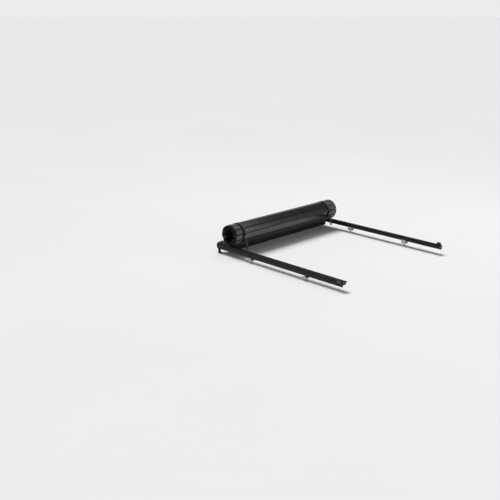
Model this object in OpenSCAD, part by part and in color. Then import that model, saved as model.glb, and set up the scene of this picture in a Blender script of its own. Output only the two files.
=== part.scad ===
// Hard roll-up tonneau cover, shown rolled open at its front end.
// X runs across the cover, +Y points to its front end, +Z is up. Millimetres.

/* [Overall] */
// Length of the side rails
rail_len = 1500; // [1480:10:1700]
// Half of the cover's width over its end blocks
half_w = 712; // [650:1:800]

/* [Slats] */
// Distance between two hinge lines
pitch = 49; // [48:0.5:50]
// Number of slats between the header and the tail bar
n_slats = 26; // [24:1:26]
// Slat top face above the hinge line
slat_top = 3.2; // [3:0.1:3.4]
// Slat bottom face below the hinge line
slat_bot = 7.0; // [6.6:0.1:7.2]
// Length of a moulded end block
cap_len = 100; // [60:5:110]
// Radius of the hinge bead
bead_r = 1.7; // [1.5:0.1:1.8]
// Width of the tail bar
tail_w = 44; // [40:1:46]

/* [Roll] */
// Hinge-line radius where the roll starts
roll_r = 95; // [94:0.5:100]
// Radial step of one turn
turn_step = 14.4; // [14:0.1:15]
// Bend between the last slat and the tail bar
tail_bend = 54; // [50:1:56]

/* [Header] */
// Hinge line of the header, from the middle of the rails
hinge_y = 587; // [580:1:595]
// Height of the hinge line when the cover lies flat
hinge_z = 100; // [100:1:110]

/* [Straps and clamps] */
// Strap centre, in from the end of the slats' aluminium
strap_in = 16; // [14:1:110]
// Width of the webbing
strap_w = 26; // [20:1:28]
// First clamp position along the rail
clamp_y1 = 305; // [200:5:400]
// Second clamp position along the rail
clamp_y2 = -345; // [-500:5:-250]

/* [Hidden] */
$fn = 48;
e2 = rail_len / 2;
track_z = hinge_z - 8;            // top of the rail track
ring_in = bead_r + 0.4;           // hinge socket, inside
ring_out = slat_top;              // hinge socket, outside
relief = ring_out + 0.7;          // room left around a socket
alu_half = half_w - cap_len;      // half length of the aluminium part
strap_x = alu_half - strap_in;    // strap centre, from the middle of the cover
rail_x = half_w - 28;             // inner face of the rail's box
bolt_x = rail_x + 18;             // bolt line under the rail
cap_drop = 0.4;                   // end block stands this far below the slat

// Roll: tilt of every link, then its hinge point (rearwards, upwards) from the header hinge.
first_share = 0.8;                // the first slat leans by this part of a full bend
function bend(a) = 2 * asin(pitch / (2 * (roll_r - turn_step * a / 360)));
slat_tilts = [for (i = 0, a = first_share * bend(0); i < n_slats; i = i + 1, a = a + bend(a)) a];
tilts = concat(slat_tilts, [slat_tilts[n_slats - 1] + tail_bend]);
spots = [for (i = 0, q = [0, 0]; i <= n_slats; q = q + pitch * [cos(tilts[i]), sin(tilts[i])], i = i + 1) q];
roll_c = [-10.3, 91.2];           // middle of the roll from the header hinge
strap_ri = 99.1;                  // inside of the strap's bow
strap_t = 2;                      // webbing thickness
beam_y = hinge_y + 13;            // place of the beam under the header
panel_bot = 6.5;                  // underside of the header panel, below the hinge line
panel_cell = (e2 - hinge_y - 6) / 5; // pitch of the hollows in the header panel

function two(i) = i < 10 ? str("0", i) : str(i);
function slat_name(i) = str("slat_", two(i + 1));

// ---- placing ----
// Extrude a profile drawn as (rearwards, upwards) across the cover between two X values.
module across(x0, x1) {
  translate([x1, 0, 0]) rotate([90, 0, -90]) linear_extrude(height = x1 - x0) children();
}
// Extrude a profile drawn as (across, upwards) along the cover between two Y values.
module along(y0, y1) {
  translate([0, y1, 0]) rotate([90, 0, 0]) linear_extrude(height = y1 - y0) children();
}
// Put children drawn about a link's hinge line where that link lies in the roll.
module at_link(i) {
  translate([0, hinge_y - spots[i][0], hinge_z + spots[i][1]]) rotate([-tilts[i], 0, 0]) children();
}
module box(lo, hi) { translate(lo) cube(hi - lo); }
module both() { children(); mirror([1, 0, 0]) children(); }

// ---- slats ----
// C-shaped hinge socket, open towards the next link.
module socket2d() {
  difference() {
    circle(r = ring_out);
    circle(r = ring_in);
    polygon([[0, 0], 9 * [cos(-26), sin(-26)], 9 * [cos(29), sin(29)], 9 * [cos(84), sin(84)]]);
  }
}
// Round bead on a neck.
module bead2d() {
  circle(r = bead_r);
  translate([0, -0.7]) square([4.8, 1.4]);
}
// Hollow slat: bead in front, socket at the rear.
module slat2d() {
  difference() {
    polygon([[0.5, -slat_bot + 2.2], [2.7, -slat_bot], [pitch - 2.7, -slat_bot], [pitch - 0.5, -slat_bot + 2.2],
             [pitch - 0.5, slat_top], [0.5, slat_top]]);
    circle(r = relief);
    translate([pitch, 0]) circle(r = ring_out - 0.01);
    for (u = cells()) translate([u, -slat_bot + wall]) square([cell_w, cell_h]);
  }
  bead2d();
  translate([pitch, 0]) socket2d();
}
wall = 1.2;
cell_w = (pitch - 11.2) / 2;
cell_h = slat_bot + slat_top - 2 * wall;
function cells() = [5.3, 6.3 + cell_w];
// Moulded end block, hollow at its outer end, with two tongues that plug into the slat's cells.
module end_block() {
  difference() {
    across(alu_half + 0.3, half_w) polygon([[2.2, -slat_bot - cap_drop + 2], [4.2, -slat_bot - cap_drop], [pitch - 4.2, -slat_bot - cap_drop],
             [pitch - 2.2, -slat_bot - cap_drop + 2], [pitch - 2.2, 1.2], [pitch - 3.6, slat_top - 0.4],
             [3.6, slat_top - 0.4], [2.2, 1.2]]);
    for (u = [4.4, pitch / 2 + 1]) across(half_w - 14, half_w + 1)
      translate([u, -slat_bot + 1.4]) square([pitch / 2 - 5.4, cell_h - 0.6]);
  }
  for (u = cells()) across(alu_half - 28, alu_half + 2)
    translate([u + 0.3, -slat_bot + wall + 0.3]) square([cell_w - 0.6, cell_h - 0.6]);
}
module slat(i) {
  color("#2b2d30") at_link(i) across(-alu_half, alu_half) slat2d();
  color("#191a1b") at_link(i) both() end_block();
}

// ---- tail bar ----
pin_u = 26;      // latch pin, behind the tail bar's hinge line
pin_v = -2.2;    // and above it
pin_r = 3;
pin_out = half_w; // reach of a latch pin when drawn in
module tail2d(hollow) {
  difference() {
    polygon([[0.5, -slat_bot + 1], [1.5, -slat_bot], [tail_w - 7, -slat_bot], [tail_w - 4, -slat_bot + 3],
             [tail_w - 4, slat_top - 2], [tail_w - 6, slat_top], [0.5, slat_top]]);
    circle(r = relief);
    if (hollow) {
      translate([6, -slat_bot + wall]) square([11, cell_h]);
      translate([19, -slat_bot + wall]) square([14, cell_h]);
    } else translate([pin_u, pin_v]) circle(r = pin_r + 0.1);
  }
}
module tail_bar() {
  color("#2b2d30") at_link(n_slats) across(-alu_half, alu_half) { tail2d(true); bead2d(); }
  color("#191a1b") at_link(n_slats) both() {
    across(alu_half + 0.3, half_w) difference() { tail2d(false); translate([-1, -20]) square([3.2, 40]); }
    across(alu_half - 28, alu_half + 2) translate([6.3, -slat_bot + wall + 0.3]) square([10.4, cell_h - 0.6]);
  }
}
module tail_seal() {
  color("#101112") at_link(n_slats) across(-half_w + 4, half_w - 4) {
    translate([tail_w - 4, -slat_bot + 3.4]) square([1.7, 4.4]);
    translate([tail_w - 1.6, -slat_bot + 5.6]) difference() { circle(r = 1.6); circle(r = 0.8); }
  }
}
module latch_pin_right() {
  color("#8d9094") at_link(n_slats) translate([0, -pin_u, pin_v]) rotate([0, 90, 0]) {
    translate([0, 0, alu_half - 20]) cylinder(r = pin_r, h = pin_out - alu_half + 19);
    translate([0, 0, pin_out - 1]) cylinder(r1 = pin_r, r2 = pin_r - 1, h = 1);
    translate([0, 0, alu_half - 24]) cylinder(r = pin_r + 0.3, h = 4.5);
  }
}
module latch_pin_left() { mirror([1, 0, 0]) latch_pin_right(); }

// ---- rails ----
module rail2d() {
  difference() {
    union() {
      translate([rail_x, track_z - 30]) square([38, 30]);
      translate([rail_x - 12, track_z - 14]) square([13, 2.5]);
      translate([rail_x - 12, track_z - 14]) square([2, 8]);
      translate([rail_x + 34, track_z - 48]) square([5, 20]);
    }
    translate([rail_x + 2.5, track_z - 27.5]) square([33, 25]);
  }
}
module bolt_holes() {
  for (y = [clamp_y1, clamp_y2]) translate([bolt_x, y, track_z - 40]) cylinder(r = 4.3, h = 20);
  for (y = [630, 675]) translate([bolt_x, y, track_z - 40]) cylinder(r = 4.3, h = 20);
}
module right_rail() {
  color("#232527") difference() { along(-e2 + 4, e2 - 4) rail2d(); bolt_holes(); }
}
module left_rail() { mirror([1, 0, 0]) right_rail(); }
module rail_seals() {
  color("#111213") both() along(-e2 + 60, e2 - 10) {
    translate([rail_x + 38, track_z - 26]) square([1.4, 18]);
    translate([rail_x + 41, track_z - 17]) difference() { circle(r = 2.2); circle(r = 1.3); }
  }
}
module rail_end_caps() {
  color("#17181a") both() for (y = [-e2, e2 - 4]) {
    box([rail_x, y, track_z - 30], [rail_x + 38, y + 4, track_z]);
    box([rail_x - 12, y, track_z - 14], [rail_x, y + 4, track_z - 6]);
    box([rail_x + 3, y < 0 ? y + 4 : y - 16, track_z - 27], [rail_x + 35, y < 0 ? y + 20 : y, track_z - 3]);
  }
}

// ---- header ----
module header_bar() {
  color("#232527") {
      // top panel, with the socket for the first slat
      translate([0, hinge_y, hinge_z]) across(-alu_half, alu_half) {
        difference() {
          translate([-e2 + hinge_y, -panel_bot]) square([e2 - hinge_y - 0.5, panel_bot + slat_top]);
          circle(r = ring_out - 0.01);
          for (k = [0 : 4]) translate([-e2 + hinge_y + 4 + k * panel_cell, 1.5 - panel_bot]) square([panel_cell - 4, panel_bot + slat_top - 3]);
        }
        socket2d();
      }
      // beam under the panel: a wide foot below a recessed web
      translate([0, beam_y, hinge_z]) across(22 - rail_x, rail_x - 22) difference() {
        union() {
          translate([-86, -23]) square([76, 23 - panel_bot]);
          translate([-92, -68]) square([90, 45]);
        }
        translate([-83, -26]) square([70, 24 - panel_bot]);
        translate([-89, -65]) square([84, 40]);
      }
  }
  color("#191a1b") both() translate([0, hinge_y, hinge_z]) across(alu_half + 0.3, half_w)
    polygon([[-e2 + hinge_y + 4, -panel_bot], [-4, -panel_bot], [-4, slat_top - 1.5], [-5.5, slat_top], [-e2 + hinge_y + 6, slat_top], [-e2 + hinge_y + 4, slat_top - 2]]);
}
module header_seal() {
  color("#101112") translate([0, hinge_y, hinge_z]) across(24 - rail_x, rail_x - 24) {
    translate([-e2 + hinge_y + 8, -panel_bot - 4]) square([40, 4]);
    translate([-e2 + hinge_y + 20, -panel_bot - 6.6]) difference() { circle(r = 3); circle(r = 1.8); }
    // lip on the step of the beam, under the first slat
    translate([hinge_y - beam_y - 8.5, -23]) square([6, 3]);
  }
}
module header_brackets() {
  color("#2a2c2f") both() difference() {
    union() {
      box([rail_x - 22, 604, track_z - 58], [rail_x - 18, 690, track_z - 2]);
      box([rail_x - 20, 612, track_z - 36], [rail_x + 32, 738, track_z - 30]);
      // leg that the header stands on
      box([rail_x + 6, 730, 0], [rail_x + 32, 738, track_z - 33]);
      box([rail_x + 6, 702, 0], [rail_x + 32, 738, 6]);
    }
    for (y = [630, 675]) translate([bolt_x, y, 0]) cylinder(r = 4.3, h = 100);
    for (z = [track_z - 18, track_z - 46]) translate([rail_x - 34, 650, z]) rotate([0, 90, 0]) cylinder(r = 3.2, h = 30);
  }
}
module header_bolts() {
  color("#8f9296") both() {
    for (y = [630, 675]) translate([bolt_x, y, 0]) {
      translate([0, 0, track_z - 41]) cylinder(r = 7, h = 5, $fn = 6);
      translate([0, 0, track_z - 36]) cylinder(r = 4, h = 16);
      translate([0, 0, track_z - 27.5]) difference() { cylinder(r = 7, h = 6, $fn = 6); translate([0, 0, -1]) cylinder(r = 3.9, h = 9); }
    }
  }
}

// ---- latch blocks on the rails' rear ends ----
module latch_blocks() {
  tail_y = hinge_y - n_slats * pitch;
  color("#1d1e20") both() difference() {
    union() {
      box([rail_x + 31, tail_y - pin_u - 18, track_z], [rail_x + 46, tail_y - pin_u + 18, track_z + 15]);
      box([rail_x + 38, tail_y - pin_u - 18, track_z - 18], [rail_x + 46, tail_y - pin_u + 18, track_z]);
    }
    translate([rail_x + 16, tail_y - pin_u, hinge_z + pin_v]) rotate([0, 90, 0]) cylinder(r = pin_r + 0.4, h = 40);
    // lead-in for the pin, cut on the top inner edge
    translate([rail_x + 31, tail_y - pin_u, track_z + 15]) rotate([0, 45, 0]) cube([5, 60, 5], center = true);
  }
}

// ---- straps ----
bow_y = hinge_y - roll_c[0];
bow_z = hinge_z + roll_c[1];
// Outline of the strap as (rearwards from the roll's middle, up from it): under the roll, round behind it,
// over the top and down in front to the header.
module strap2d() {
  ro = strap_ri + strap_t;
  difference() {
    circle(r = ro, $fn = 96);
    circle(r = strap_ri, $fn = 96);
    translate([-120, -120]) square([120, 120]);
  }
  translate([bow_y - beam_y - 9.8, -ro]) square([beam_y + 9.8 - bow_y, strap_t]);
  translate([-ro, slat_top - roll_c[1] + 2]) square([strap_t, roll_c[1] - slat_top - 2]);
}
module strap(x) {
  color("#303235") translate([0, bow_y, bow_z]) across(x - strap_w / 2, x + strap_w / 2) {
    strap2d();
    // free end, hanging behind the roll
    translate([strap_ri + 14.5, -130]) square([strap_t, 102]);
  }
}
module left_strap() { strap(-strap_x); }
module right_strap() { strap(strap_x); }
module strap_anchors() {
  color("#1c1d1f") for (s = [-1, 1]) {
    // plate on the header's top panel with a bar over the strap's end
    difference() {
      box([s * strap_x - strap_w / 2 - 7, bow_y + strap_ri - 14, hinge_z + slat_top], [s * strap_x + strap_w / 2 + 7, bow_y + strap_ri + 26, hinge_z + slat_top + 2]);
      for (k = [-1, 1]) translate([s * strap_x + k * (strap_w / 2 - 1), bow_y + strap_ri + 17, hinge_z]) cylinder(r = 2.6, h = 20);
    }
    for (k = [-1, 1]) translate([s * strap_x + k * (strap_w / 2 - 1), bow_y + strap_ri + 17, hinge_z + slat_top + 2]) cylinder(r = 4.5, h = 2.4);
  }
}
// Buckle body, carried by the slat behind it.
buckle_link = 2;
module buckle(x) {
  d = [hinge_y - spots[buckle_link][0] - bow_y, hinge_z + spots[buckle_link][1] - bow_z];
  a = tilts[buckle_link];
  // middle of the roll seen from the slat's hinge line
  cu = d[0] * cos(a) - d[1] * sin(a);
  cv = -d[0] * sin(a) - d[1] * cos(a);
  v1 = cv - strap_ri - strap_t - 0.6;
  hb = strap_w / 2 + 1;
  color("#141516") at_link(buckle_link) {
    difference() {
      across(x - hb - 3, x + hb + 3) translate([cu - 13, v1 - 7]) square([26, 7]);
      across(x - hb, x + hb) translate([cu - 8, v1 - 4]) square([16, 12]);
      across(x - hb, x + hb) translate([cu - 11.6, v1 - 12]) square([2.6, 24]);
      across(x - hb, x + hb) translate([cu + 9, v1 - 12]) square([2.6, 24]);
    }
  }
}
module left_buckle() { buckle(-strap_x); }
module right_buckle() { buckle(strap_x); }

// ---- clamps ----
module clamp_bolts() {
  color("#94979b") both() for (y = [clamp_y1, clamp_y2]) translate([bolt_x, y, 0]) {
    cylinder(r = 4, h = track_z - 24);
    translate([-8, -8, track_z - 27.5]) cube([16, 16, 4.5]);
  }
}
module clamp_jaw(y) {
  color("#a9acb0") translate([0, y, 0]) difference() {
    union() {
      box([rail_x + 4, -22, 22], [rail_x + 51, 22, 30]);
      box([rail_x + 4, -22, 30], [rail_x + 8.5, 22, track_z - 30.5]);
      box([rail_x + 43, -22, 30], [rail_x + 51, 22, 38]);
      translate([bolt_x, 0, 14]) cylinder(r = 8, h = 8, $fn = 6);
    }
    translate([bolt_x, 0, 0]) cylinder(r = 4.4, h = 60);
  }
}
module clamp_jaw_right_front() { clamp_jaw(clamp_y1); }
module clamp_jaw_right_rear() { clamp_jaw(clamp_y2); }
module clamp_jaw_left_front() { mirror([1, 0, 0]) clamp_jaw(clamp_y1); }
module clamp_jaw_left_rear() { mirror([1, 0, 0]) clamp_jaw(clamp_y2); }

// ---- what is drawn ----
left_rail();
right_rail();
rail_seals();
rail_end_caps();
header_bar();
header_seal();
header_brackets();
header_bolts();
latch_blocks();
strap_anchors();
clamp_bolts();
clamp_jaw_left_front();
clamp_jaw_left_rear();
clamp_jaw_right_front();
clamp_jaw_right_rear();
for (i = [0 : n_slats - 1]) slat(i);
tail_bar();
tail_seal();
latch_pin_left();
latch_pin_right();
left_strap();
right_strap();
left_buckle();
right_buckle();
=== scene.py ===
import math
from math import asin, atan2, cos, degrees, pi, radians, sin, sqrt, tan

import bmesh
import bpy
from mathutils import Matrix, Vector


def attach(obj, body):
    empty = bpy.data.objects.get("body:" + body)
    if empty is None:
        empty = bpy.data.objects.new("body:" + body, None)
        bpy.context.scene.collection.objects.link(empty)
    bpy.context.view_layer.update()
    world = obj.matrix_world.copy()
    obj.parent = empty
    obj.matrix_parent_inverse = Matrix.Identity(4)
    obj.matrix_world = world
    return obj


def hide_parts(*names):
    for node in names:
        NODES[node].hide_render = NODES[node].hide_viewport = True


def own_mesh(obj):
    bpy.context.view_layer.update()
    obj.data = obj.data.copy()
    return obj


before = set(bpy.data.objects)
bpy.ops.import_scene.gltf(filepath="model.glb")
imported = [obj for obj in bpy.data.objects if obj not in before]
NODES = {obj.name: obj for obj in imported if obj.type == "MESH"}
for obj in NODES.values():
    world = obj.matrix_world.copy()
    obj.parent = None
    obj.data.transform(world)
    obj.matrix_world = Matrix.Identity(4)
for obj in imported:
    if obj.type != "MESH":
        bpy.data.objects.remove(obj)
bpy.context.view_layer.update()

scene = bpy.context.scene
MM = 0.001

# ---------------------------------------------------------------- the roll, as in the CAD (millimetres, degrees)
PITCH, N_SLATS = 49.0, 26
TOP, BOT = 3.2, 7.0
HALF_W, CAP_LEN = 712.0, 100.0
ALU = HALF_W - CAP_LEN
ROLL_R, TURN_STEP, TAIL_BEND = 95.0, 14.4, 54.0
HY, HZ = 587.0, 100.0
BEAM_Y, PANEL_BOT = HY + 13.0, 6.5
BOW_Y, BOW_Z = HY + 10.3, HZ + 91.2
STRAP_RI, STRAP_T, STRAP_X, STRAP_W = 99.1, 2.0, 596.0, 26.0


def bend(a):
    return 2 * degrees(asin(PITCH / (2 * (ROLL_R - TURN_STEP * a / 360))))


TILT = [0.8 * bend(0)]
while len(TILT) < N_SLATS:
    TILT.append(TILT[-1] + bend(TILT[-1]))
TILT.append(TILT[-1] + TAIL_BEND)
SPOT = [(0.0, 0.0)]
for _k in range(N_SLATS):
    _a = radians(TILT[_k])
    SPOT.append((SPOT[-1][0] + PITCH * cos(_a), SPOT[-1][1] + PITCH * sin(_a)))


def link_matrix(k):
    """Places a piece drawn about link k's hinge line: local x across, -y rearwards, z up."""
    q = SPOT[k]
    return Matrix.Translation(Vector((0, HY - q[0], HZ + q[1])) * MM) @ Matrix.Rotation(
        -radians(TILT[k]), 4, "X"
    )


# ---------------------------------------------------------------- mesh helpers
def arc(cx, cy, r, a0, a1, n):
    return [
        (cx + r * cos(radians(a0 + (a1 - a0) * i / n)), cy + r * sin(radians(a0 + (a1 - a0) * i / n)))
        for i in range(n + 1)
    ]


def rounded(pts, radii, seg=3):
    """A closed outline with its corners rounded. radii is one number or one per corner."""
    out = []
    n = len(pts)
    for i in range(n):
        r = radii[i] if isinstance(radii, (list, tuple)) else radii
        p0, p1, p2 = Vector(pts[i - 1]), Vector(pts[i]), Vector(pts[(i + 1) % n])
        d0, d2 = p0 - p1, p2 - p1
        l0, l2 = d0.length, d2.length
        d0.normalize()
        d2.normalize()
        ang = d0.angle(d2)
        t = min(r / max(tan(ang / 2), 1e-6), 0.48 * l0, 0.48 * l2) if r > 0 else 0
        if t < 1e-5:
            out.append((p1.x, p1.y))
            continue
        a, b = p1 + d0 * t, p1 + d2 * t
        for k in range(seg + 1):
            s = k / seg
            p = a * (1 - s) ** 2 + p1 * (2 * s * (1 - s)) + b * s * s
            out.append((p.x, p.y))
    return out


def loft(bm, rings, cap0=True, cap1=True, mat=0, by_side=None, by_ring=None):
    """Skin a row of rings. by_side gives a material for each side of the outline, by_ring one for each band."""
    vr = [[bm.verts.new(p) for p in ring] for ring in rings]
    n = len(vr[0])
    for j, (a, b) in enumerate(zip(vr, vr[1:])):
        for i in range(n):
            f = bm.faces.new((a[i], a[(i + 1) % n], b[(i + 1) % n], b[i]))
            f.material_index = by_ring[j] if by_ring and (by_ring[j] or not by_side) else by_side[i] if by_side else mat
    if cap0:
        bm.faces.new(list(reversed(vr[0]))).material_index = by_ring[0] if by_ring else mat
    if cap1:
        bm.faces.new(vr[-1]).material_index = by_ring[-1] if by_ring else mat
    return vr


def across(bm, outline, x0, x1, mat=0, cap0=True, cap1=True):
    """An outline of (rearwards, up) carried across the cover from x0 to x1."""
    return loft(bm, [[Vector((x, -u, v)) * MM for u, v in outline] for x in (x0, x1)], cap0, cap1, mat)


def across_runs(bm, runs, x0, x1):
    """Like across, for an outline made of runs of (points, material)."""
    outline = [p for pts, _m in runs for p in pts]
    sides = [m for pts, m in runs for _p in pts]
    return loft(bm, [[Vector((x, -u, v)) * MM for u, v in outline] for x in (x0, x1)], True, True, 0, by_side=sides)


def along(bm, outline, y0, y1, mat=0, side=1, steps=1):
    """An outline of (across, up) carried along the cover from y0 to y1, on the right (1) or left (-1)."""
    ys = [y0 + (y1 - y0) * i / steps for i in range(steps + 1)]
    return loft(bm, [[Vector((side * x, y, z)) * MM for x, z in outline] for y in ys], True, True, mat)


def lathe(bm, profile, centre, axis="Z", seg=24, mat=0, ring=False):
    """A turned piece: profile is (radius, height) pairs in millimetres from bottom to top. A ring closes on itself."""
    c = Vector(centre)
    rings = []
    for r, h in profile:
        row = []
        for i in range(seg):
            a = 2 * pi * i / seg
            p = Vector((r * cos(a), r * sin(a), h))
            if axis == "X":
                p = Vector((p.z, p.x, p.y))
            elif axis == "-X":
                p = Vector((-p.z, p.x, p.y))
            elif axis == "-Z":
                p = Vector((p.x, -p.y, -p.z))
            row.append((c + p) * MM)
        rings.append(row)
    if ring:
        made = loft(bm, rings + [rings[0]], False, False, mat)
        bmesh.ops.remove_doubles(bm, verts=made[0] + made[-1], dist=1e-7)
        return made[:-1]
    return loft(bm, rings, True, True, mat)


def rbox(bm, lo, hi, r=1.0, seg=2, mat=0, move=None):
    """A box with rounded edges, in millimetres."""
    lo, hi = Vector(lo), Vector(hi)
    made = bmesh.ops.create_cube(bm, size=1.0)
    vs = made["verts"]
    for v in vs:
        v.co = Vector(
            ((lo.x + hi.x) / 2 + v.co.x * (hi.x - lo.x), (lo.y + hi.y) / 2 + v.co.y * (hi.y - lo.y), (lo.z + hi.z) / 2 + v.co.z * (hi.z - lo.z))
        ) * MM
    es = list({e for v in vs for e in v.link_edges})
    fs = list({f for v in vs for f in v.link_faces})
    for f in fs:
        f.material_index = mat
    r = min(r, 0.45 * min(hi - lo))
    res = bmesh.ops.bevel(bm, geom=es, offset=r * MM, segments=seg, profile=0.5, affect="EDGES", clamp_overlap=True)
    new_faces = set(res["faces"])
    for f in new_faces:
        f.material_index = mat
    if move is not None:
        verts = {v for f in new_faces for v in f.verts} | {v for v in vs if v.is_valid}
        for v in verts:
            v.co = move @ v.co


def hexagon(r, turn=0):
    return [(r * cos(radians(60 * i + turn)), r * sin(radians(60 * i + turn))) for i in range(6)]


def hex_head(bm, centre, r, h, up=1, mat=0, flange=None):
    """A hexagon head or nut with turned-down corners, along Z from centre."""
    c = Vector(centre)
    seg = 36

    def ring(scale, z, clip):
        pts = []
        for i in range(seg):
            a = 2 * pi * i / seg
            s = (a + pi / 6) % (pi / 3) - pi / 6
            rad = min(r * cos(pi / 6) / cos(s) * scale, clip)
            pts.append((c + Vector((rad * cos(a), rad * sin(a), up * z))) * MM)
        return pts

    rr = r * cos(pi / 6)
    rings = []
    if flange:
        rings += [ring(9, 0, flange), ring(9, 1.0, flange), ring(9, 1.9, rr + 0.4)]
        z0 = 1.9
    else:
        rings += [ring(0.98, 0, rr * 1.02), ring(1, 0.5, rr * 1.09)]
        z0 = 0.9
    rings += [ring(1, z0 + 0.3, r * 1.01), ring(1, h - 0.9, r * 1.01), ring(1, h - 0.35, rr * 1.07), ring(1, h, rr * 0.97)]
    loft(bm, rings, True, True, mat)


def cross_head(bm, centre, r, h, axis, mat=0):
    """A pan-head screw with a cross recess, standing on centre along +-X or +Z."""
    c = Vector(centre)
    seg = 16

    def pt(x, y, z):
        p = Vector((x, y, z))
        if axis == "X":
            p = Vector((z, x, y))
        elif axis == "-X":
            p = Vector((-z, x, -y))
        return (c + p) * MM

    prof = [(r, 0), (r, 0.35 * h), (0.86 * r, 0.8 * h), (0.62 * r, h)]
    rings = [[pt(q * cos(2 * pi * i / seg), q * sin(2 * pi * i / seg), z) for i in range(seg)] for q, z in prof]
    # the recess: a four-pointed star sunk into the head
    star = []
    sunk = []
    for i in range(seg):
        a = 2 * pi * i / seg
        q = 0.5 * r if i % 4 == 0 else (0.3 * r if i % 4 in (1, 3) else 0.17 * r)
        star.append(pt(q * cos(a), q * sin(a), h))
        sunk.append(pt(0.7 * q * cos(a), 0.7 * q * sin(a), 0.35 * h))
    loft(bm, rings + [star, sunk], True, True, mat)


def mesh_from(name, bm, mats, sharp=32, uv=None):
    bmesh.ops.recalc_face_normals(bm, faces=bm.faces[:])
    for f in bm.faces:
        f.smooth = True
    for e in bm.edges:
        e.smooth = len(e.link_faces) == 2 and e.calc_face_angle(0) < radians(sharp)
    me = bpy.data.meshes.new(name)
    bm.to_mesh(me)
    bm.free()
    for m in mats:
        me.materials.append(m)
    return me


def place(name, me, body, replaces=(), matrix=None):
    o = bpy.data.objects.new(name, me)
    scene.collection.objects.link(o)
    o.matrix_world = matrix if matrix is not None else Matrix.Identity(4)
    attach(o, body)
    if replaces:
        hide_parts(*replaces)
    return o


# ---------------------------------------------------------------- materials
class Mat:
    """A small wrapper for building node materials."""

    def __init__(self, name):
        self.m = bpy.data.materials.new(name)
        self.m.use_nodes = True
        self.nt = self.m.node_tree
        self.bsdf = next(n for n in self.nt.nodes if n.type == "BSDF_PRINCIPLED")

    def node(self, kind, **props):
        n = self.nt.nodes.new(kind)
        for k, v in props.items():
            setattr(n, k, v)
        return n

    def link(self, a, b):
        self.nt.links.new(a, b)

    def coords(self, scale, kind="Object"):
        tc = self.node("ShaderNodeTexCoord")
        mp = self.node("ShaderNodeMapping")
        mp.inputs["Scale"].default_value = scale
        self.link(tc.outputs[kind], mp.inputs["Vector"])
        return mp.outputs["Vector"]

    def noise(self, vec, scale, detail=3.0, rough=0.55):
        n = self.node("ShaderNodeTexNoise")
        n.inputs["Scale"].default_value = scale
        n.inputs["Detail"].default_value = detail
        n.inputs["Roughness"].default_value = rough
        self.link(vec, n.inputs["Vector"])
        return n.outputs["Fac"]

    def ramp(self, fac, stops):
        r = self.node("ShaderNodeValToRGB")
        el = r.color_ramp.elements
        while len(el) < len(stops):
            el.new(0.5)
        for e, (p, c) in zip(el, stops):
            e.position = p
            e.color = (*c, 1)
        self.link(fac, r.inputs["Fac"])
        return r.outputs["Color"]

    def span(self, fac, a, b, lo=0.3, hi=0.7):
        n = self.node("ShaderNodeMapRange")
        n.inputs["From Min"].default_value = lo
        n.inputs["From Max"].default_value = hi
        n.inputs["To Min"].default_value = a
        n.inputs["To Max"].default_value = b
        self.link(fac, n.inputs["Value"])
        return n.outputs["Result"]

    def math(self, op, a, b):
        n = self.node("ShaderNodeMath", operation=op)
        for i, v in enumerate((a, b)):
            if isinstance(v, (int, float)):
                n.inputs[i].default_value = v
            else:
                self.link(v, n.inputs[i])
        return n.outputs[0]

    def mix(self, fac, a, b):
        n = self.node("ShaderNodeMix", data_type="RGBA")
        self.link(fac, n.inputs["Factor"])
        for key, v in ((6, a), (7, b)):
            if isinstance(v, tuple):
                n.inputs[key].default_value = (*v, 1)
            else:
                self.link(v, n.inputs[key])
        return n.outputs[2]

    def bump(self, height, strength, dist=0.0003, chain=None):
        b = self.node("ShaderNodeBump")
        b.inputs["Strength"].default_value = strength
        b.inputs["Distance"].default_value = dist
        self.link(height, b.inputs["Height"])
        if chain is not None:
            self.link(chain, b.inputs["Normal"])
        return b.outputs["Normal"]

    def set(self, **kw):
        names = {
            "color": "Base Color", "rough": "Roughness", "metal": "Metallic", "normal": "Normal", "spec": "Specular IOR Level",
            "coat": "Coat Weight", "coat_rough": "Coat Roughness", "sheen": "Sheen Weight", "sheen_rough": "Sheen Roughness",
        }
        for k, v in kw.items():
            s = self.bsdf.inputs[names[k]]
            if isinstance(v, tuple):
                s.default_value = (*v, 1) if len(v) == 3 else v
            elif isinstance(v, (int, float)):
                s.default_value = v
            else:
                self.link(v, s)
        return self.m


def extruded_black(name, dark, light, r0, r1, streak=(2.5, 620, 620), spec=0.5, metal=0.0):
    """Black-coated aluminium extrusion: die lines along its length, faint cloudiness, fine coating texture."""
    m = Mat(name)
    lines = m.noise(m.coords(streak), 1.0, 2.0, 0.6)
    cloud = m.noise(m.coords((1, 1, 1)), 9.0, 4.0, 0.6)
    fine = m.noise(m.coords((1, 1, 1)), 2600.0, 2.0, 0.5)
    mixed = m.math("ADD", m.math("MULTIPLY", lines, 0.65), m.math("MULTIPLY", cloud, 0.35))
    col = m.ramp(mixed, [(0.32, dark), (0.68, light)])
    nrm = m.bump(fine, 0.10, 0.0002)
    nrm = m.bump(lines, 0.10, 0.0003, nrm)
    return m.set(color=col, rough=m.span(cloud, r0, r1), metal=metal, normal=nrm, spec=spec)


def moulded(name, dark, light, rough, grain=1500.0, strength=0.35):
    """Grained black plastic."""
    m = Mat(name)
    v = m.node("ShaderNodeTexVoronoi")
    v.inputs["Scale"].default_value = grain
    m.link(m.coords((1, 1, 1)), v.inputs["Vector"])
    cloud = m.noise(m.coords((1, 1, 1)), 22.0, 5.0, 0.65)
    dust = m.noise(m.coords((1, 1, 1)), 240.0, 3.0, 0.6)
    col = m.ramp(m.math("ADD", m.math("MULTIPLY", cloud, 0.7), m.math("MULTIPLY", dust, 0.3)), [(0.35, dark), (0.66, light)])
    nrm = m.bump(v.outputs["Distance"], strength, 0.00025)
    return m.set(color=col, rough=m.span(cloud, rough - 0.06, rough + 0.06), normal=nrm)


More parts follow.
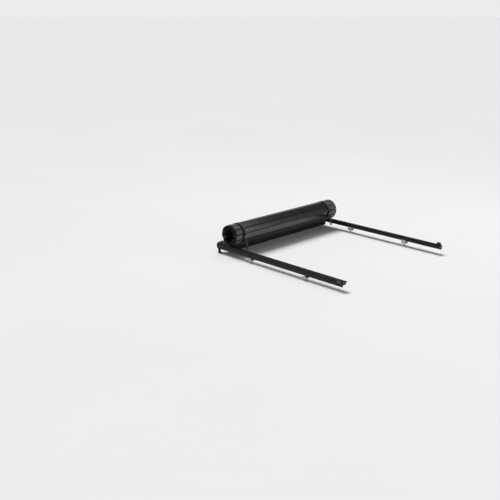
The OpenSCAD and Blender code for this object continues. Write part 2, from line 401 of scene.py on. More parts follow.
def rubber(name, dark=0.008, light=0.018):
    m = Mat(name)
    cloud = m.noise(m.coords((1, 1, 1)), 30.0, 4.0, 0.6)
    fine = m.noise(m.coords((1, 1, 1)), 1200.0, 3.0, 0.6)
    col = m.ramp(cloud, [(0.3, (dark, dark, dark)), (0.7, (light, light, light))])
    return m.set(color=col, rough=m.span(fine, 0.62, 0.8), normal=m.bump(fine, 0.2, 0.0002))


def zinc(name, dark, light, rough):
    m = Mat(name)
    spangle = m.noise(m.coords((1, 1, 1)), 160.0, 3.0, 0.6)
    fine = m.noise(m.coords((1, 1, 1)), 1400.0, 2.0, 0.5)
    col = m.ramp(spangle, [(0.3, dark), (0.7, light)])
    return m.set(color=col, rough=m.span(spangle, rough - 0.07, rough + 0.09), metal=1.0, normal=m.bump(fine, 0.12, 0.0001))


def cast(name, dark, light, rough):
    m = Mat(name)
    sand = m.noise(m.coords((1, 1, 1)), 900.0, 4.0, 0.65)
    cloud = m.noise(m.coords((1, 1, 1)), 45.0, 4.0, 0.6)
    col = m.ramp(cloud, [(0.3, dark), (0.7, light)])
    return m.set(color=col, rough=m.span(sand, rough - 0.08, rough + 0.08), metal=0.9, normal=m.bump(sand, 0.35, 0.0003))


def vinyl(name):
    """The cover's top skin: fine leather-like grain."""
    m = Mat(name)
    v = m.node("ShaderNodeTexVoronoi")
    v.feature = "DISTANCE_TO_EDGE"
    v.inputs["Scale"].default_value = 700.0
    m.link(m.coords((1, 1, 1)), v.inputs["Vector"])
    cloud = m.noise(m.coords((1, 1, 1)), 14.0, 4.0, 0.6)
    col = m.ramp(cloud, [(0.3, (0.011, 0.011, 0.012)), (0.7, (0.022, 0.022, 0.023))])
    return m.set(color=col, rough=m.span(cloud, 0.5, 0.62), normal=m.bump(v.outputs["Distance"], 0.4, 0.0002))


def webbing(name):
    """Woven strap: uv runs in millimetres, u along the strap and v across it."""
    m = Mat(name)
    vec = m.coords((1, 1, 1), "UV")
    sep = m.node("ShaderNodeSeparateXYZ")
    m.link(vec, sep.inputs[0])
    u, v = sep.outputs[0], sep.outputs[1]
    # ribs along the strap, and the picks of the weave that step from rib to rib
    rib = m.math("SINE", m.math("MULTIPLY", v, 2 * pi / 2.4), 0.0)
    step = m.math("MULTIPLY", m.math("FLOOR", m.math("DIVIDE", v, 2.4), 0.0), 0.7)
    pick = m.math("SINE", m.math("ADD", m.math("MULTIPLY", u, 2 * pi / 2.2), step), 0.0)
    both = m.math("ADD", m.math("MULTIPLY", rib, 0.5), m.math("MULTIPLY", pick, 0.5))
    fac = m.math("ADD", m.math("MULTIPLY", both, 0.5), 0.5)
    fuzz = m.noise(m.coords((1, 1, 1)), 1800.0, 3.0, 0.7)
    cloud = m.noise(m.coords((1, 1, 1)), 40.0, 3.0, 0.6)
    # the weave's hollows are painted darker and its raised ribs lighter, following the bump: painted shade, mixed with
    # the fibre fuzz and cloudy tone of the yarn
    tone_and_hollow_shade = m.math("ADD", m.math("MULTIPLY", fac, 0.6), m.math("ADD", m.math("MULTIPLY", fuzz, 0.25), m.math("MULTIPLY", cloud, 0.15)))
    col = m.ramp(tone_and_hollow_shade, [(0.25, (0.011, 0.0114, 0.0122)), (0.6, (0.027, 0.028, 0.0295)), (0.9, (0.050, 0.0515, 0.054))])
    nrm = m.bump(fac, 0.55, 0.0004)
    return m.set(color=col, rough=m.span(fuzz, 0.72, 0.9), normal=nrm, sheen=0.25, sheen_rough=0.5)


M_SLAT = extruded_black("slat_black_anodised", (0.074, 0.075, 0.078), (0.104, 0.105, 0.109), 0.17, 0.23, metal=1.0)
M_SEAM = rubber("hinge_seam")
M_RAIL = extruded_black("rail_black_coat", (0.006, 0.0061, 0.0064), (0.011, 0.0112, 0.0118), 0.42, 0.52, streak=(620, 2.5, 620), spec=0.32)
M_HEAD = extruded_black("header_black_coat", (0.007, 0.0071, 0.0075), (0.013, 0.0132, 0.014), 0.46, 0.56, spec=0.16)
M_BLOCK = moulded("end_block_grained", (0.080, 0.080, 0.082), (0.120, 0.120, 0.122), 0.40)
# painted shade: a near-black colour standing for the shadow in the end blocks' neck, groove, side faces and open end
M_PAINTED_SHADE = moulded("end_block_painted_shade", (0.006, 0.006, 0.0064), (0.013, 0.013, 0.0136), 0.6, 1700.0, 0.3)
M_RIM = moulded("end_block_rim", (0.006, 0.006, 0.0063), (0.012, 0.012, 0.0125), 0.46, 1700.0, 0.3)
M_PLASTIC = moulded("moulded_black", (0.011, 0.011, 0.0115), (0.022, 0.022, 0.023), 0.48, 1900.0, 0.25)
M_RUBBER = rubber("seal_rubber")
# painted highlight: the header seal is coloured a lighter grey than the other rubber so that the header's edge shows as
# a thin light line
M_SEAL_HIGHLIGHT = rubber("header_seal_painted_highlight", 0.055, 0.085)
M_VINYL = vinyl("top_skin_vinyl")
M_WEB = webbing("strap_webbing")
M_STITCH = moulded("stitch_thread", (0.03, 0.03, 0.032), (0.07, 0.07, 0.073), 0.7, 2600.0, 0.5)
M_ZINC = zinc("zinc_plate", (0.42, 0.43, 0.44), (0.62, 0.62, 0.62), 0.36)
M_PIN = zinc("pin_steel", (0.50, 0.50, 0.50), (0.66, 0.66, 0.65), 0.24)
M_BUCKLE = zinc("buckle_plate", (0.15, 0.15, 0.153), (0.23, 0.23, 0.233), 0.28)
M_BLACKBOLT = zinc("black_oxide", (0.030, 0.030, 0.032), (0.060, 0.060, 0.062), 0.42)
M_CAST = cast("clamp_casting", (0.40, 0.41, 0.42), (0.58, 0.585, 0.59), 0.44)
M_STEELBLACK = cast("bracket_powder", (0.018, 0.018, 0.019), (0.034, 0.034, 0.035), 0.5)


# ---------------------------------------------------------------- slats
def socket_outline(cu):
    """The rear hinge socket's open ring, from its bottom round its mouth to its top."""
    return arc(cu, 0, 3.2, -99, -26, 7) + arc(cu, 0, 2.1, 334, 84, 18) + arc(cu, 0, 3.2, 84, 90, 1)


def bead_outline():
    """The front hinge bead and the room around it, from the top face down to the front face."""
    return (
        arc(0, 0, 3.9, 55.1, 10.34, 5)
        + arc(0, 0, 1.7, 24.3, 335.7, 16)
        + arc(0, 0, 3.9, -10.34, -82.6, 7)
    )


def grooved(u0, u1, v, grooves, depth, width):
    """A straight run from u0 to u1 at height v, with shallow grooves cut in it towards +v."""
    pts = []
    for g in grooves:
        h = width / 2
        pts += [(g - h, v), (g - 0.55 * h, v + depth), (g + 0.55 * h, v + depth), (g + h, v)]
    return [(u0, v)] + pts + [(u1, v)]


def low_corner(u, side, r=1.4):
    """The slat's lower edge: a round from the side face to the underside."""
    run = [(r - r * cos(radians(18 * i)), r - r * sin(radians(18 * i))) for i in range(6)]
    pts = [(u + side * a, -BOT + b) for a, b in run]
    return pts if side > 0 else pts[::-1]


def slat_runs():
    """The slat's outline, with its hinge edges and stepped-in sides as runs of their own."""
    under = low_corner(1.9, 1)
    under += grooved(3.4, PITCH - 3.4, -BOT, (PITCH / 3, 2 * PITCH / 3), 0.35, 1.3)[1:-1]
    under += low_corner(PITCH - 1.9, -1)
    rear = [(PITCH - 1.9, -4.6), (PITCH - 0.5, -4.0)] + socket_outline(PITCH)
    front = bead_outline() + [(1.9, -4.6)]
    return [(under[:-1], 0), (under[-1:] + rear + front, 2)]


def skin_outline():
    return rounded([(2.9, TOP + 0.01), (PITCH - 3.4, TOP + 0.01), (PITCH - 3.4, TOP + 0.26), (2.9, TOP + 0.26)], 0.12, 2)


def block_ring(x, inset, w0=2.2, w1=PITCH - 2.2, v0=-BOT - 0.4, v1=TOP - 0.4):
    """One cross-section of an end block, drawn in by inset."""
    base = rounded(
        [(w0, v0 + 2.0), (w0 + 2.0, v0), (w1 - 2.0, v0), (w1, v0 + 2.0), (w1, v1 - 1.6), (w1 - 1.4, v1), (w0 + 1.4, v1), (w0, v1 - 1.6)],
        1.1, 2,
    )
    cu, cv = (w0 + w1) / 2, (v0 + v1) / 2
    hu, hv = (w1 - w0) / 2, (v1 - v0) / 2
    return [(x, cu + (u - cu) * (hu - inset) / hu, cv + (v - cv) * (hv - inset) / hv) for u, v in base]


def end_block(bm, side, w0=2.2, w1=PITCH - 2.2, v0=-BOT - 0.4, v1=TOP - 0.4, pin=None):
    """A moulded end: a neck at the slat, a long body, a groove, and an outer rim around an open end."""
    stations = [
        (ALU + 0.3, 2.3), (ALU + 6.2, 2.3), (ALU + 7.0, 1.9), (ALU + 7.9, 0.4), (ALU + 9.0, 0.0),
        (690.4, 0.0), (691.2, 1.4), (697.2, 1.4), (698.0, 0.0), (709.9, 0.0), (711.3, 0.35), (712.0, 0.95), (712.0, 1.7), (711.0, 2.0), (698.0, 2.5),
    ]
    # the neck, the groove, the side and inner faces and the inside of the open end are painted shade: near black,
    # standing for the shadow in these recesses and in the gaps between blocks; only the outer face shows the block's
    # grey, and the dark rim lies between the groove and the open end
    bands = [2, 2, 0, 0, 0, 2, 2, 2, 3, 3, 3, 2, 2, 2]
    sides = [0 if 3 <= i <= 7 else 2 for i in range(24)]
    rings = []
    for x, d in stations:
        rings.append([Vector((side * xx, -u, v)) * MM for xx, u, v in block_ring(x, d, w0, w1, v0, v1)])
    loft(bm, rings, True, True, 0, by_side=sides, by_ring=bands)
    cv = (v0 + v1) / 2
    cu = (w0 + w1) / 2

    def web(u0, u1, z0, z1, x1, r=0.3):
        rbox(bm, (min(side * 697.6, side * x1), -u1, z0), (max(side * 697.6, side * x1), -u0, z1), r, 1, 2)

    if pin is None:
        # fixing screw on its boss, and the webs that stiffen the open end; the boss and the webs take the open end's
        # painted shade
        lathe(bm, [(3.6, 697.5), (3.4, 707.2), (3.1, 707.6)], (0, -cu, cv), "X" if side > 0 else "-X", 24, 2)
        cross_head(bm, (side * 707.5, -cu, cv), 2.6, 1.9, "X" if side > 0 else "-X", 1)
        web(cu - 0.9, cu + 0.9, v0 + 1.9, v1 - 1.9, 706.4)
        for du in (-15.6, -8.2, 8.2, 15.6):
            web(cu + du - 0.6, cu + du + 0.6, v0 + 1.9, v1 - 1.9, 704.0)


bm = bmesh.new()
across_runs(bm, slat_runs(), -ALU, ALU)
across(bm, skin_outline(), -ALU + 0.6, ALU - 0.6, 1)
slat_mesh = mesh_from("slat_bar", bm, [M_SLAT, M_VINYL, M_SEAM])
bm = bmesh.new()
for s in (-1, 1):
    end_block(bm, s)
block_mesh = mesh_from("slat_ends", bm, [M_BLOCK, M_BLACKBOLT, M_PAINTED_SHADE, M_RIM])
for k in range(N_SLATS):
    body = "slat_%02d" % (k + 1)
    place(body + "_bar", slat_mesh, body, [body], link_matrix(k))
    place(body + "_ends", block_mesh, body, [body], link_matrix(k))

# ---------------------------------------------------------------- tail bar
TW = 44.0
PIN_U, PIN_V = 26.0, -2.2


def tail_outline():
    pts = [(1.2, -4.4)] + low_corner(1.2, 1)
    pts += grooved(3.2, TW - 9, -BOT, (12.0, 31.0), 0.4, 1.4)[1:-1]
    pts += rounded([(TW - 20, -BOT), (TW - 7, -BOT), (TW - 4, -BOT + 3), (TW - 4, TOP - 2), (TW - 6, TOP), (TW - 20, TOP)], [0, 1.2, 1.2, 0.8, 0.8, 0], 3)[1:-1]
    pts += bead_outline()
    return pts


bm = bmesh.new()
across(bm, tail_outline(), -ALU, ALU, 0)
across(bm, rounded([(3.2, TOP + 0.01), (TW - 7, TOP + 0.01), (TW - 7, TOP + 0.26), (3.2, TOP + 0.26)], 0.12, 2), -ALU + 0.6, ALU - 0.6, 1)
place("tail_bar_profile", mesh_from("tail_bar_profile", bm, [M_SLAT, M_VINYL]), "tail", ["tail_bar"], link_matrix(N_SLATS))
bm = bmesh.new()
for s in (-1, 1):
    end_block(bm, s, 2.4, TW - 4, -BOT, TOP, pin=True)
    # bush around the latch pin, and webs beside it; the webs take the open end's painted shade
    for u0 in (8.0, 15.5, 35.0):
        rbox(bm, (min(s * 697.6, s * 706.0), -u0 - 0.6, -BOT + 2.2), (max(s * 697.6, s * 706.0), -u0 + 0.6, TOP - 2.2), 0.3, 1, 2)
    lathe(bm, [(5.0, 697.5), (4.6, 711.4), (4.3, 712.0), (3.25, 712.0), (3.2, 698.0)], (0, -PIN_U, PIN_V), "X" if s > 0 else "-X", 28, 1, ring=True)
place("tail_bar_ends", mesh_from("tail_bar_ends", bm, [M_BLOCK, M_BLACKBOLT, M_PAINTED_SHADE, M_RIM]), "tail", ["tail_bar"], link_matrix(N_SLATS))


# ---------------------------------------------------------------- carried-over CAD nodes
def finish_node(name, material, bevel=0.6, seg=2):
    o = NODES[name]
    o.data.materials.clear()
    o.data.materials.append(material)
    if bevel:
        b = o.modifiers.new("edges", "BEVEL")
        b.width = bevel * MM
        b.segments = seg
        b.limit_method = "ANGLE"
        b.angle_limit = radians(40)
        b.use_clamp_overlap = True
        b.harden_normals = False
    return o


finish_node("tail_seal", M_RUBBER, 0)
finish_node("rail_seals", M_RUBBER, 0)
# header seal in the lightened grey that paints a highlight line along the header's edge
finish_node("header_seal", M_SEAL_HIGHLIGHT, 0.7)
finish_node("latch_pin_left", M_PIN, 0)
finish_node("latch_pin_right", M_PIN, 0)
finish_node("rail_end_caps", M_PLASTIC, 0.9)
finish_node("header_brackets", M_STEELBLACK, 0.8)
finish_node("latch_blocks", M_PLASTIC, 1.1)
finish_node("strap_anchors", M_STEELBLACK, 0.5)


# ---------------------------------------------------------------- header bar
def panel_outline():
    pb = PANEL_BOT
    pts = [(-161.8, -pb), (-2.0, -pb), (-0.9, -pb + 0.4), (-0.5, -pb + 1.2)]
    pts += socket_outline(0)
    top = []
    for g in (-41.0, -82.0, -123.0):
        top += [(g + 1.1, TOP), (g + 0.6, TOP - 1.3), (g - 0.6, TOP - 1.3), (g - 1.1, TOP)]
    pts += top
    pts += [(-161.0, TOP), (-162.4, TOP - 0.6), (-163.0, TOP - 2.0), (-163.0, -pb + 1.2), (-162.6, -pb + 0.3)]
    return pts


HEAD = Matrix.Translation(Vector((0, HY, HZ)) * MM)
BEAM = Matrix.Translation(Vector((0, BEAM_Y, HZ)) * MM)
bm = bmesh.new()
across(bm, panel_outline(), -ALU, ALU, 0)
place("header_panel", mesh_from("header_panel", bm, [M_HEAD]), "frame", ["header_bar"], HEAD)
bm = bmesh.new()
beam = rounded(
    [(-86, -PANEL_BOT), (-86, -23), (-92, -23), (-92, -68), (-2, -68), (-2, -23), (-10, -23), (-10, -PANEL_BOT)],
    [0, 1.0, 3.0, 3.0, 3.0, 3.2, 1.0, 0], 4,
)
# two beads pressed along the beam's rear face
across(bm, beam, -661.8, 661.8, 0)
for v0 in (-44.0, -58.0):
    across(bm, rounded([(-2.2, v0), (-0.9, v0 - 1.5), (-0.9, v0 - 4.5), (-2.2, v0 - 6)], [0, 1, 1, 0], 3), -640, 640, 0)
place("header_beam", mesh_from("header_beam", bm, [M_HEAD]), "frame", ["header_bar"], BEAM)
bm = bmesh.new()
for s in (-1, 1):
    rings = []
    for x, d in [(ALU + 0.3, 0.8), (ALU + 1.3, 0), (ALU + 40, 0), (ALU + 40.8, 0.6), (ALU + 43.2, 0.6), (ALU + 44, 0), (709.6, 0), (711.2, 0.5), (712.0, 1.4)]:
        rings.append([Vector((s * xx, -u, v)) * MM for xx, u, v in block_ring(x, d, -159.0, -4.0, -PANEL_BOT, TOP)])
    loft(bm, rings, True, True, 0)
    for u in (-134.0, -82.0, -30.0):
        cross_head(bm, (s * 690.0, -u, TOP - 0.2), 4.2, 2.2, "Z", 1)
place("header_ends", mesh_from("header_ends", bm, [M_PLASTIC, M_BLACKBOLT]), "frame", ["header_bar"], HEAD)


# ---------------------------------------------------------------- rails
def rail_outline():
    t = 92.0
    pts = [
        (684, 62), (718, 62), (718, 44), (723, 44),
        (723, 64.0), (722, 64.2), (721.2, 65.4), (722, 66.0), (722, 85.0), (721.2, 85.6), (721.2, 86.4), (722, 87.0), (722, t),
        (716.4, t), (715.7, t - 0.9), (714.3, t - 0.9), (713.6, t),
        (695.4, t), (694.7, t - 0.9), (693.3, t - 0.9), (692.6, t),
        (684, t), (684, 88.6), (685.1, 88.2), (685.1, 86.8), (684, 86.4), (684, 80.5), (674, 80.5), (674, 86), (672, 86), (672, 78), (684, 78),
        (684, 74.6), (686.2, 74.0), (686.2, 68.0), (684, 67.4),
    ]
    rad = [
        1.0, 1.2, 0.8, 1.2,
        0.6, 0.2, 0, 0, 0, 0, 0, 0, 1.6,
        0, 0, 0, 0,
        0, 0, 0, 0,
        1.4, 0.3, 0.3, 0.3, 0.3, 1.2, 1.0, 0.9, 0.9, 1.0, 1.0,
        0.4, 0.6, 0.6, 0.4,
    ]
    return rounded(pts, rad, 3)


for s, nm in ((-1, "left_rail"), (1, "right_rail")):
    bm = bmesh.new()
    along(bm, rail_outline(), -746, 746, 0, s)
    place(nm + "_profile", mesh_from(nm + "_profile", bm, [M_RAIL]), "frame", [nm])

# ---------------------------------------------------------------- fasteners under the rails and on the header
bm = bmesh.new()
for s in (-1, 1):
    for y in (630.0, 675.0):
        # washer, flanged hexagon head, and the shank's end
        lathe(bm, [(4.3, 0), (9.2, 0), (9.4, 0.3), (9.4, 1.3), (9.2, 1.6), (4.3, 1.6)], (s * 702.0, y, 54.4), "Z", 32, 0)
        hex_head(bm, (s * 702.0, y, 54.4), 7.0, 6.2, -1, 0, 8.6)
        lathe(bm, [(3.9, 0), (3.9, 16.0), (3.2, 17.2)], (s * 702.0, y, 54.5), "Z", 20, 0)
    # button-head screws through the bracket into the beam's end
    for z in (74.0, 46.0):
        lathe(bm, [(6.0, 0.0), (6.0, 0.5), (5.4, 1.7), (4.0, 2.6), (2.6, 2.9), (2.4, 1.2)], (s * 666.0, 650.0, z), "X" if s > 0 else "-X", 24, 0)
place("header_bolt_set", mesh_from("header_bolt_set", bm, [M_ZINC]), "frame", ["header_bolts"])


def rod_profile(z0, z1, r=4.0, pitch=1.25, depth=0.62):
    """Rolled thread drawn as a stack of rounded rings."""
    prof = [(r - depth - 0.4, z0), (r - depth, z0 + 0.8)]
    z = z0 + 0.8
    while z + pitch <= z1:
        prof += [(r - depth, z + 0.18 * pitch), (r, z + 0.48 * pitch), (r, z + 0.62 * pitch), (r - depth, z + 0.95 * pitch)]
        z += pitch
    prof.append((r - depth, z1))
    return prof


bm = bmesh.new()
for s in (-1, 1):
    for y in (305.0, -345.0):
        lathe(bm, rod_profile(0.0, 61.0), (s * 702.0, y, 0.0), "Z", 18, 0)
        lathe(bm, [(4.0, 61.0), (4.0, 68.0)], (s * 702.0, y, 0.0), "Z", 18, 0)
        rbox(bm, (s * 702.0 - 8, y - 8, 64.5), (s * 702.0 + 8, y + 8, 69.0), 0.8, 2, 0)
place("clamp_bolt_set", mesh_from("clamp_bolt_set", bm, [M_ZINC]), "frame", ["clamp_bolts"])


# ---------------------------------------------------------------- clamp jaws
def jaw_outline():
    pts = [(688, 22), (735, 22), (735, 38), (727, 38), (727, 30)]
    x = 725.0
    while x > 709.0:
        pts += [(x, 30.0), (x - 1.0, 30.55), (x - 2.0, 30.0)]
        x -= 2.6
    pts += [(692.5, 30), (692.5, 61.5), (688, 61.5)]
    rad = [2.2, 2.6, 2.0, 1.6, 1.6] + [0.0] * (len(pts) - 8) + [3.0, 1.2, 1.2]
    return rounded(pts, rad, 3)


def inset_ring(outline, d, cx, cz):
    return [(cx + (x - cx) * (1 - d / 22.0), cz + (z - cz) * (1 - d / 22.0)) for x, z in outline]


for s, side in ((-1, "left"), (1, "right")):
    for y, end in ((305.0, "front"), (-345.0, "rear")):
        name = "clamp_jaw_%s_%s" % (side, end)
        bm = bmesh.new()
        o = jaw_outline()
        ring = []
        for yy, d in ((y - 22, 0.9), (y - 21.2, 0.0), (y + 21.2, 0.0), (y + 22, 0.9)):
            ring.append([Vector((s * x, yy, z)) * MM for x, z in inset_ring(o, d * 0.6, 711.0, 30.0)])
        loft(bm, ring, True, True, 0)
        # stiffening webs between the base and the upright
        for dy in (-15.0, 15.0):
            web = rounded([(691.5, 29.0), (697.0, 29.0), (697.0, 31.0), (692.6, 44.0), (691.5, 44.0)], [0, 0.5, 1.5, 1.0, 0], 2)
            loft(bm, [[Vector((s * x, y + dy + k, z)) * MM for x, z in web] for k in (-1.6, 1.6)], True, True, 0)
        # flanged nut under the base
        hex_head(bm, (s * 702.0, y, 22.0), 8.0, 8.0, -1, 1, 10.5)
        place(name + "_casting", mesh_from(name, bm, [M_CAST, M_ZINC]), "jaw_%s_%s" % (side, end), [name])

# ---------------------------------------------------------------- latch block fittings
TAIL_Y = HY - N_SLATS * PITCH
bm = bmesh.new()
for s in (-1, 1):
    ax = "X" if s > 0 else "-X"
    inner = "-X" if s > 0 else "X"
    # steel bush in the latch hole, and two screws in the block's outer face
    lathe(bm, [(3.45, -0.2), (4.9, -0.2), (5.2, 0.2), (5.2, 0.5), (4.4, 0.6), (3.5, 0.5)], (s * 715.2, TAIL_Y - PIN_U, HZ + PIN_V), inner, 28, 0, ring=True)
    for dy in (-11.0, 11.0):
        cross_head(bm, (s * 730.0, TAIL_Y - PIN_U + dy, 81.0), 3.6, 2.0, ax, 0)
place("latch_block_fittings", mesh_from("latch_block_fittings", bm, [M_ZINC]), "frame")


# ---------------------------------------------------------------- straps
def web_band(name, path, width, thick, xc, uv0=0.0):
    """A band of webbing along path (y, z in millimetres), drawn as a closed mesh with soft edges and uv in millimetres."""
    n = len(path)
    half = width / 2
    # cross-section: (across, out), with thinner edges
    cs = []
    for i in range(9):
        x = -half + width * i / 8
        t = thick / 2 * (1.0 if 0 < i < 8 else 0.45)
        cs.append((x, t))
    for i in range(8, -1, -1):
        x = -half + width * i / 8
        t = thick / 2 * (1.0 if 0 < i < 8 else 0.45)
        cs.append((x, -t))
    verts, uvs, faces = [], [], []
    s = uv0
    for i in range(n):
        p = Vector((path[i][0], path[i][1]))
        q = Vector((path[min(i + 1, n - 1)][0], path[min(i + 1, n - 1)][1])) - Vector((path[max(i - 1, 0)][0], path[max(i - 1, 0)][1]))
        q.normalize()
        nrm = Vector((-q.y, q.x))
        if i:
            s += (p - Vector(path[i - 1][:2])).length
        sway = 0.5 * sin(s * 0.021 + xc) if len(path[i]) < 3 else path[i][2]
        for x, t in cs:
            verts.append(Vector((xc + x + sway, p.x + nrm.x * t, p.y + nrm.y * t)) * MM)
            uvs.append((s, x + half))
    m = len(cs)
    for i in range(n - 1):
        for j in range(m):
            faces.append((i * m + j, i * m + (j + 1) % m, (i + 1) * m + (j + 1) % m, (i + 1) * m + j))
    faces.append(tuple(range(m - 1, -1, -1)))
    faces.append(tuple((n - 1) * m + j for j in range(m)))
    me = bpy.data.meshes.new(name)
    me.from_pydata(verts, [], faces)
    layer = me.uv_layers.new(name="UVMap")
    for loop in me.loops:
        layer.data[loop.index].uv = uvs[loop.vertex_index]
    return me


def strap_path():
    r = STRAP_RI + STRAP_T / 2
    pts = [(609.6, BOW_Z - r), (605.6, BOW_Z - r), (602.0, BOW_Z - r)]
    for i in range(73):
        a = radians(-90 - 270 * i / 72)
        rr = r + 0.25 * sin(9 * a)
        pts.append((BOW_Y + rr * cos(a), BOW_Z + rr * sin(a)))
    z = BOW_Z - 4
    while z > 112:
        pts.append((BOW_Y + r + 0.4 * sin(z * 0.11), z))
        z -= 6
    # foot turned forwards under the anchor plate's bar
    pts += [(BOW_Y + r + 0.2, 110.0), (BOW_Y + r + 1.2, 107.9), (BOW_Y + r + 3.4, 106.6), (BOW_Y + r + 7.0, 106.4), (BOW_Y + r + 11.0, 106.4)]
    return pts


def smooth_path(pts, per=6):
    """Catmull-Rom through the points."""
    out = []
    p = [pts[0]] + list(pts) + [pts[-1]]
    for i in range(1, len(p) - 2):
        for k in range(per):
            t = k / per
            a, b, c, d = (Vector(p[j]) for j in (i - 1, i, i + 1, i + 2))
            out.append(tuple(0.5 * ((2 * b) + (c - a) * t + (2 * a - 5 * b + 4 * c - d) * t * t + (3 * b - a - 3 * c + d) * t ** 3)))
    out.append(tuple(pts[-1]))
    return out


def drift(z):
    """How far the free end swings to the right on its way down."""
    t = min(max((152.0 - z) / 96.0, 0.0), 1.0)
    return 14.0 * t * t * (3 - 2 * t)


TY = BOW_Y - STRAP_RI - 15.5
TAIL_PATH = smooth_path(
    [
        (TY + 10.9, 173.5), (TY + 8.6, 166.0), (TY + 5.2, 157.5), (TY + 2.4, 147.5), (TY + 0.8, 134.0),
        (TY + 0.7, 118.0), (TY + 0.6, 102.0), (TY + 0.2, 86.0), (TY + 0.3, 73.0), (TY + 0.6, 61.4),
    ],
    5,
)
TAIL_PATH = [(y, z, drift(z)) for y, z in TAIL_PATH]


def stitch_row(bm, along_pts, xc, half, step, out, mat=0):
    """Short stitches across a band, standing just proud of it."""
    for (y, z), (ny, nz), (ty, tz) in along_pts:
        x = -half
        while x <= half:
            c = Vector((xc + x + drift(z), y + ny * out, z + nz * out))
            a = Vector((0.55, 0, 0))
            b = Vector((0.0, ty * 0.95, tz * 0.95))
            n = Vector((0, ny * 0.22, nz * 0.22))
            lo = [c + a * i + b * j - n for i, j in ((-1, -1), (1, -1), (1, 1), (-1, 1))]
            hi = [c + a * i * 0.6 + b * j * 0.75 + n for i, j in ((-1, -1), (1, -1), (1, 1), (-1, 1))]
            loft(bm, [[p * MM for p in lo], [p * MM for p in hi]], True, True, mat)
            x += step


for s, side in ((-1, "left"), (1, "right")):
    xc = s * STRAP_X
    me = web_band(side + "_strap_bow", strap_path(), STRAP_W, 1.9, xc)
    me.materials.append(M_WEB)
    me.polygons.foreach_set("use_smooth", [True] * len(me.polygons))
    bow = place(side + "_strap_bow", me, "frame", [side + "_strap"])
    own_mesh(bow)
    me = web_band(side + "_strap_end", TAIL_PATH, STRAP_W - 0.6, 1.7, xc, 700.0)
    me.materials.append(M_WEB)
    me.polygons.foreach_set("use_smooth", [True] * len(me.polygons))
    tail = place(side + "_strap_end", me, "frame", [side + "_strap"])
    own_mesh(tail)
    # folded-over hem of the free end with its rows of stitches
    hem = [(TY - 1.4, 84.0), (TY - 1.8, 81.0), (TY - 1.5, 74.0), (TY - 1.3, 67.0), (TY - 1.0, 62.2), (TY - 0.3, 61.2)]
    me = web_band(side + "_strap_hem", [(y, z, drift(z)) for y, z in smooth_path(hem, 4)], STRAP_W - 0.8, 1.5, xc, 830.0)
    me.materials.append(M_WEB)
    me.polygons.foreach_set("use_smooth", [True] * len(me.polygons))
    h = place(side + "_strap_hem", me, "frame")
    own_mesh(h)
    bm = bmesh.new()
    rows = [((TY - 2.3, 79.5), (-1, 0), (0, 1)), ((TY - 2.3, 76.5), (-1, 0), (0, 1)), ((TY - 2.15, 68.0), (-1, 0), (0, 1)), ((TY - 2.0, 65.0), (-1, 0), (0, 1))]
    stitch_row(bm, rows, xc, STRAP_W / 2 - 3, 2.2, 0.1)
    st = place(side + "_strap_stitches", mesh_from(side + "_strap_stitches", bm, [M_STITCH]), "frame")
    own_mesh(st)

# ---------------------------------------------------------------- buckles
BL = 2
_a = radians(TILT[BL])
_dy, _dz = HY - SPOT[BL][0] - BOW_Y, HZ + SPOT[BL][1] - BOW_Z
B_U = _dy * cos(_a) - _dz * sin(_a)
B_V = -_dy * sin(_a) - _dz * cos(_a) - STRAP_RI - STRAP_T - 0.6
for s, side in ((-1, "left"), (1, "right")):
    xc = s * STRAP_X
    bm = bmesh.new()

    def part(u0, u1, v0, v1, x0, x1, r, mat):
        rbox(bm, (xc + x0, -(B_U + u1), B_V + v0), (xc + x1, -(B_U + u0), B_V + v1), r, 3, mat)

    # stamped side plates, four cross wires, and a sprung cam plate with finger ribs
    hb = STRAP_W / 2 + 1.6
    for x0, x1 in ((-hb - 2.4, -hb), (hb, hb + 2.4)):
        part(-13, 13, -6.6, -0.2, x0, x1, 1.0, 0)
    for u in (-12.0, -8.4, 8.4, 12.0):
        lathe(bm, [(0.7, -hb - 2.0), (1.1, -hb - 1.6), (1.1, hb + 1.6), (0.7, hb + 2.0)], (xc, -(B_U + u), B_V - 2.2), "X", 14, 0)
    part(-7.6, 7.0, -6.4, -4.4, -hb + 0.6, hb - 0.6, 0.8, 0)
    for i in range(4):
        part(-5.9 + i * 2.9, -4.7 + i * 2.9, -7.0, -6.0, -hb + 4.0, hb - 4.0, 0.35, 0)
    lathe(bm, [(0.8, -hb - 2.8), (1.6, -hb - 2.6), (1.6, hb + 2.6), (0.8, hb + 2.8)], (xc, -(B_U + 5.4), B_V - 4.6), "X", 18, 1)
    place(side + "_buckle_body", mesh_from(side + "_buckle_body", bm, [M_BUCKLE, M_ZINC]), "slat_03", [side + "_buckle"], link_matrix(BL))

# ---------------------------------------------------------------- stage, light and camera
bpy.ops.mesh.primitive_plane_add(size=1200, location=(0, 0, 0))
floor = bpy.context.object
floor.name = "floor"
fm = Mat("floor_pale")
cl = fm.noise(fm.coords((1, 1, 1)), 0.6, 2.0, 0.5)
fm.set(color=fm.ramp(cl, [(0.3, (0.83, 0.83, 0.833)), (0.7, (0.845, 0.845, 0.848))]), rough=0.8, spec=0.1)
floor.data.materials.append(fm.m)

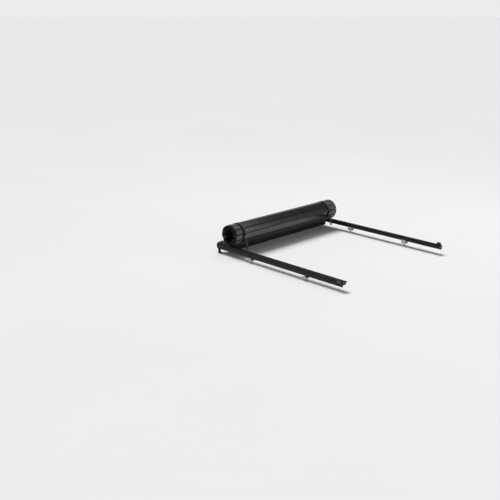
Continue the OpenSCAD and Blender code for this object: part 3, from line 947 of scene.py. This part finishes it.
scene.view_settings.view_transform = "Standard"
scene.view_settings.look = "None"
world = bpy.data.worlds.new("studio")
scene.world = world
world.use_nodes = True
wt = world.node_tree
bg = next(n for n in wt.nodes if n.type == "BACKGROUND")
# pale studio walls all round, with a dimmer ceiling over them
wc = wt.nodes.new("ShaderNodeTexCoord")
wx = wt.nodes.new("ShaderNodeSeparateXYZ")
wr = wt.nodes.new("ShaderNodeValToRGB")
wt.links.new(wc.outputs["Generated"], wx.inputs[0])
wt.links.new(wx.outputs["Z"], wr.inputs["Fac"])
wr.color_ramp.interpolation = "EASE"
wr.color_ramp.elements.new(0.5)
for e, (at, g) in zip(wr.color_ramp.elements, ((0.03, 0.84), (0.42, 0.17), (1.0, 0.18))):
    e.position = at
    e.color = (g, g, g, 1)
wt.links.new(wr.outputs["Color"], bg.inputs["Color"])
bg.inputs["Strength"].default_value = 1.0


def area(name, loc, target, size, power, size_y=None):
    d = bpy.data.lights.new(name, "AREA")
    d.shape = "RECTANGLE"
    d.size = size
    d.size_y = size_y or size
    d.energy = power
    o = bpy.data.objects.new(name, d)
    scene.collection.objects.link(o)
    o.location = loc
    o.rotation_euler = (Vector(target) - Vector(loc)).to_track_quat("-Z", "Y").to_euler()
    o.visible_camera = False
    return o


sun = bpy.data.lights.new("overhead", "SUN")
sun.energy = 2.72
sun.angle = radians(30)
so = bpy.data.objects.new("overhead", sun)
scene.collection.objects.link(so)
so.visible_glossy = False
so.rotation_euler = Vector((0.0, -0.42, -0.91)).to_track_quat("-Z", "Y").to_euler()
area("rear_softbox", (3.5, -4.6, 3.0), (-0.6, 0.55, 0.2), 2.2, 15, 1.5)
area("high_softbox", (1.8, 0.6, 3.9), (-0.5, 0.6, 0.2), 2.6, 14, 1.5)

cam_data = bpy.data.cameras.new("camera")
cam = bpy.data.objects.new("camera", cam_data)
scene.collection.objects.link(cam)
cam_data.sensor_fit = "HORIZONTAL"
cam_data.sensor_width = 36.0
cam_data.lens = 55.66
cam.location = (-5.3187, -4.3690, 2.1786)
cam.rotation_euler = (radians(90 - 17.401), 0, radians(-44.494))
cam_data.clip_end = 200
scene.camera = cam
